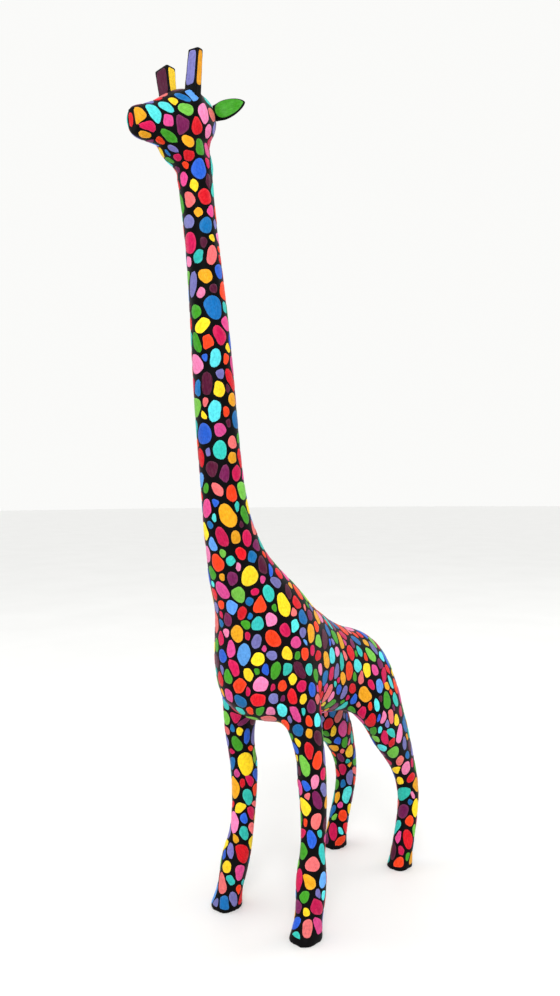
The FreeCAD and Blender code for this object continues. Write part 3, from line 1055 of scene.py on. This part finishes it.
# The plain black below, above and beside the panels.
PANEL_BOTTOM = 11.2
PANEL_TOP = 1.5
BROAD_MARGIN = 1.35
NARROW_MARGIN = 0.95
PANEL_RISE = 0.16


def panel_radii(angles, half_long, half_wide, power=5.0):
    """A long rounded oblong, as a reach for each angle."""
    total = (np.abs(np.cos(angles)) / half_long) ** power + (np.abs(np.sin(angles)) / half_wide) ** power
    return total ** (-1.0 / power)


def even_angles(reach, count):
    """Angles that space points evenly along an outline given by reach(angles)."""
    fine = np.linspace(0.0, 2 * math.pi, 721)
    radii = reach(fine)
    x, y = radii * np.cos(fine), radii * np.sin(fine)
    walk = np.concatenate([[0.0], np.cumsum(np.hypot(np.diff(x), np.diff(y)))])
    return np.interp(np.arange(count) / count * walk[-1], walk, fine)


def make_horn(side_name):
    root, lean, wide, deep, taper, length = HORNS[side_name]
    turn = np.array(Matrix.Rotation(math.radians(lean), 3, "Y"))
    root = np.array(root)
    rings = [ring @ turn.T + root for ring in horn_rings(wide, deep, taper, length)]
    mesh = grid_mesh("horn", rings)
    finish_mesh(mesh, BLACK, 60.0)
    horn = new_object(f"{side_name}_horn_stick", mesh)
    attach(horn, "root")
    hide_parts(f"{side_name}_horn")
    surface = Surface(mesh)
    dots = DotMesh()
    half_long = (length - PANEL_BOTTOM - PANEL_TOP) / 2
    middle = PANEL_BOTTOM + half_long
    slope = math.tan(math.radians(taper))
    half_x = wide / 2 - middle * slope
    half_y = deep / 2 - middle * slope
    axis = turn @ UP
    for facing, left_paint, right_paint in HORN_PANELS:
        broad = facing[0] == 0
        away = half_y if broad else half_x
        half_wide = half_x - BROAD_MARGIN if broad else half_y - NARROW_MARGIN
        outward = turn @ np.array(facing, dtype=float)
        place, normal = surface.land(root + axis * middle + outward * away)
        first = tangent(axis, normal)
        angles = even_angles(lambda a: panel_radii(a, half_long, half_wide), 56)
        radii = panel_radii(angles, half_long, half_wide)
        radii = radii * (1.0 + 0.012 * np.sin(9 * angles + dice.uniform(0, 6)))
        along = radii * np.cos(angles)
        sideways = radii * np.sin(angles) * (1.0 - along * slope / half_wide)
        dots.add(surface, place, normal, first, np.cross(normal, first),
                 np.arctan2(sideways, along), np.hypot(along, sideways),
                 paint_of(left_paint if side_name == "left" else right_paint), PANEL_RISE)
    panels = dots.build(f"{side_name}_horn_paint")
    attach(panels, "root")


# ---- ears

EAR_ROOT = np.array((10.5, -78.8, 580.0))
EAR_DIRECTION = np.array((0.86, 0.43, 0.25))
EAR_FACE = np.array((0.45, -0.85, 0.10))
EAR_REACH = (-3.0, 2.5, 7.5, 13.5, 18.0, 19.2)
EAR_THICKNESS = (2.3, 2.5, 2.3, 1.6, 0.8, 0.3)
EAR_FOOT = -3.0
EAR_MIDDLE = 9.0
EAR_TIP = 19.2
EAR_HOLLOW = 1.05
EAR_MARGIN = 0.85
EAR_PAINT_RISE = 0.15


def ear_width(reach):
    """Half the ear's width at a distance from its root: a stalk, then a leaf."""
    stalk = 5.9 + 1.1 * ease(EAR_FOOT, 4.0, reach)
    taper = np.maximum(reach - 3.5, 0.0) / (EAR_TIP - 3.5)
    leaf = 7.0 * np.clip(1.0 - taper ** 1.9, 0.0, 1.0) ** 0.66
    return np.minimum(stalk, leaf)


def ear_outline(angles):
    """The painted part of an ear, set in from its edge, as a reach for each angle."""
    start, end = EAR_FOOT + 1.0, EAR_TIP - 0.8
    spans = np.linspace(start, end, 160)
    upper = np.maximum(ear_width(spans) - EAR_MARGIN, 0.0)
    ends = np.abs((spans - (start + end) / 2) / ((end - start) / 2 + 0.01))
    upper *= np.sqrt(np.clip(1.0 - ends ** 7, 0.0, 1.0))
    x = np.concatenate([spans, spans[::-1]]) - EAR_MIDDLE
    y = np.concatenate([upper, -upper[::-1]])
    return np.interp(angles, np.arctan2(y, x), np.hypot(x, y), period=2 * math.pi)


def make_ear(side_name, side):
    mirror = np.array((side, 1.0, 1.0))
    along = unit(EAR_DIRECTION * mirror)
    face = tangent(EAR_FACE * mirror, along)
    across = np.cross(face, along) * side
    root = EAR_ROOT * mirror
    reaches = EAR_FOOT + (EAR_TIP - EAR_FOOT) * np.sin(np.linspace(0.0, math.pi / 2, 30))
    reaches[-1] = EAR_TIP - 0.02
    turns = 2 * math.pi * np.arange(32) / 32
    rings = []
    for reach in reaches:
        wide = max(ear_width(reach), 0.25)
        thick = np.interp(reach, EAR_REACH, EAR_THICKNESS) * min(1.0, wide / 2.0 + 0.1)
        hollow = EAR_HOLLOW * band(2.0, 6.5, 11.0, 16.5, reach)
        lift = thick * np.sin(turns) - hollow * np.maximum(np.sin(turns), 0.0) ** 3
        rings.append(root + along * reach + np.outer(wide * np.cos(turns), across)
                     + np.outer(lift, face))
    mesh = grid_mesh("ear", rings)
    shape = bmesh.new()
    shape.from_mesh(mesh)
    bmesh.ops.recalc_face_normals(shape, faces=shape.faces[:])
    shape.to_mesh(mesh)
    shape.free()
    finish_mesh(mesh, BLACK, 60.0)
    ear = new_object(f"{side_name}_ear_leaf", mesh)
    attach(ear, "root")
    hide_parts(f"{side_name}_ear")
    surface = Surface(mesh)
    dots = DotMesh()
    angles = even_angles(ear_outline, 52)
    for facing, name in ((1.0, "green"), (-1.0, "golden")):
        place, normal = surface.land(root + along * EAR_MIDDLE + face * facing * 1.5)
        first = tangent(along, normal)
        dots.add(surface, place, normal, first, np.cross(normal, first), angles,
                 ear_outline(angles), paint_of(name), EAR_PAINT_RISE)
    paint = dots.build(f"{side_name}_ear_paint")
    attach(paint, "root")


# ---- tail

TAIL_VOXEL = 0.55


def make_tail():
    """The tail, with dots on the part that hangs clear of the rump."""
    mesh = remeshed("tail", ["tail"], TAIL_VOXEL)
    points, edges = mesh_arrays(mesh)
    points = fair(points, edges, 8)
    write_points(mesh, points)
    finish_mesh(mesh, BLACK)
    tail = new_object("carved_tail", mesh)
    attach(tail, "root")
    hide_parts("tail")
    surface = Surface(mesh)
    layout = Layout(surface)
    normals = surface.normals
    allowed = (surface.points[:, 1] > 124.0) & (surface.points[:, 2] > 99.0)
    direction = tangent(np.tile(UP, (len(normals), 1)) + 1e-3, normals)
    order = dice.permutation(len(normals))
    ones = np.ones(len(normals))
    for size in (2.5, 1.9):
        layout.fill(order, size, 0.06, 0, ones, direction, ones * 1.7, allowed)
    layout.finish()
    choose_colours(layout)
    dots = lay_dots(surface, layout, lambda place: "tail")["tail"].build("tail_dots")
    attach(dots, "root")


# ---- staging

def make_floor():
    """A wide, flat, pale floor."""
    turns = 2 * math.pi * np.arange(96) / 96
    circle = np.column_stack([np.cos(turns), np.sin(turns), np.zeros(96)])
    rings = [radius * circle for radius in (100.0, 600.0, 1400.0, 2600.0, 4200.0, 7000.0, 12000.0)]
    mesh = grid_mesh("floor", rings, last_end=False)
    mesh.shade_smooth()
    mesh.materials.append(pale_floor())
    new_object("floor", mesh)


# Each lamp's place, size and power.  All of them point at the statue's middle.
LAMPS = {
    "key": ((0.9, -1.2, 1.3), 0.9, 15.0),
    "fill": ((-1.4, -0.6, 0.9), 1.2, 3.0),
    "back": ((0.6, 1.5, 1.4), 1.0, 5.0),
}
LAMP_TARGET = Vector((0.0, 0.0, 0.3))


def make_lights():
    """A bright, even studio with soft lamps round the statue."""
    world = bpy.data.worlds.new("studio")
    bpy.context.scene.world = world
    world.use_nodes = True
    background = world.node_tree.nodes["Background"]
    background.inputs["Color"].default_value = (1.0, 1.0, 0.985, 1.0)
    background.inputs["Strength"].default_value = 0.96
    for name, (place, size, power) in LAMPS.items():
        light = bpy.data.lights.new(name, "AREA")
        light.shape = "DISK"
        light.size = size
        light.energy = power
        lamp = new_object(name, light)
        lamp.location = place
        lamp.rotation_euler = (LAMP_TARGET - Vector(place)).to_track_quat("-Z", "Y").to_euler()


# Turns in degrees, and the lens in millimetres.
CAMERA_PLACE = (0.3917, -0.4920, 0.3257)
CAMERA_AZIMUTH = 38.66
CAMERA_PITCH = -0.83
CAMERA_ROLL = -0.47
CAMERA_LENS = 29.65


def make_camera():
    """A hand-held view from in front and to the statue's left."""
    azimuth, pitch, roll = (math.radians(a) for a in (CAMERA_AZIMUTH, CAMERA_PITCH, CAMERA_ROLL))
    turn = (Matrix.Rotation(azimuth, 4, "Z") @ Matrix.Rotation(math.pi / 2 + pitch, 4, "X")
            @ Matrix.Rotation(roll, 4, "Z"))
    lens = bpy.data.cameras.new("camera")
    lens.lens = CAMERA_LENS
    lens.sensor_width = 36.0
    lens.clip_start = 0.01
    camera = new_object("camera", lens)
    camera.matrix_world = Matrix.Translation(Vector(CAMERA_PLACE)) @ turn
    bpy.context.scene.camera = camera


# ---- build

def make_body():
    skin = carve_skin()
    surface = Surface(skin)
    layout = body_layout(surface)
    make_wooden_pieces(skin)
    for owner, dots in lay_dots(surface, layout, body_owner).items():
        piece = dots.build(f"{owner}_dots")
        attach(piece, "root")


def paint_dowels():
    for name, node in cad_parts.items():
        if name.endswith("_dowel"):
            node.data.materials.clear()
            node.data.materials.append(WOOD)


bpy.context.scene.view_settings.view_transform = "Standard"
make_body()
for side_name, side in SIDES:
    make_horn(side_name)
    make_ear(side_name, side)
make_tail()
paint_dowels()
make_floor()
make_lights()
make_camera()
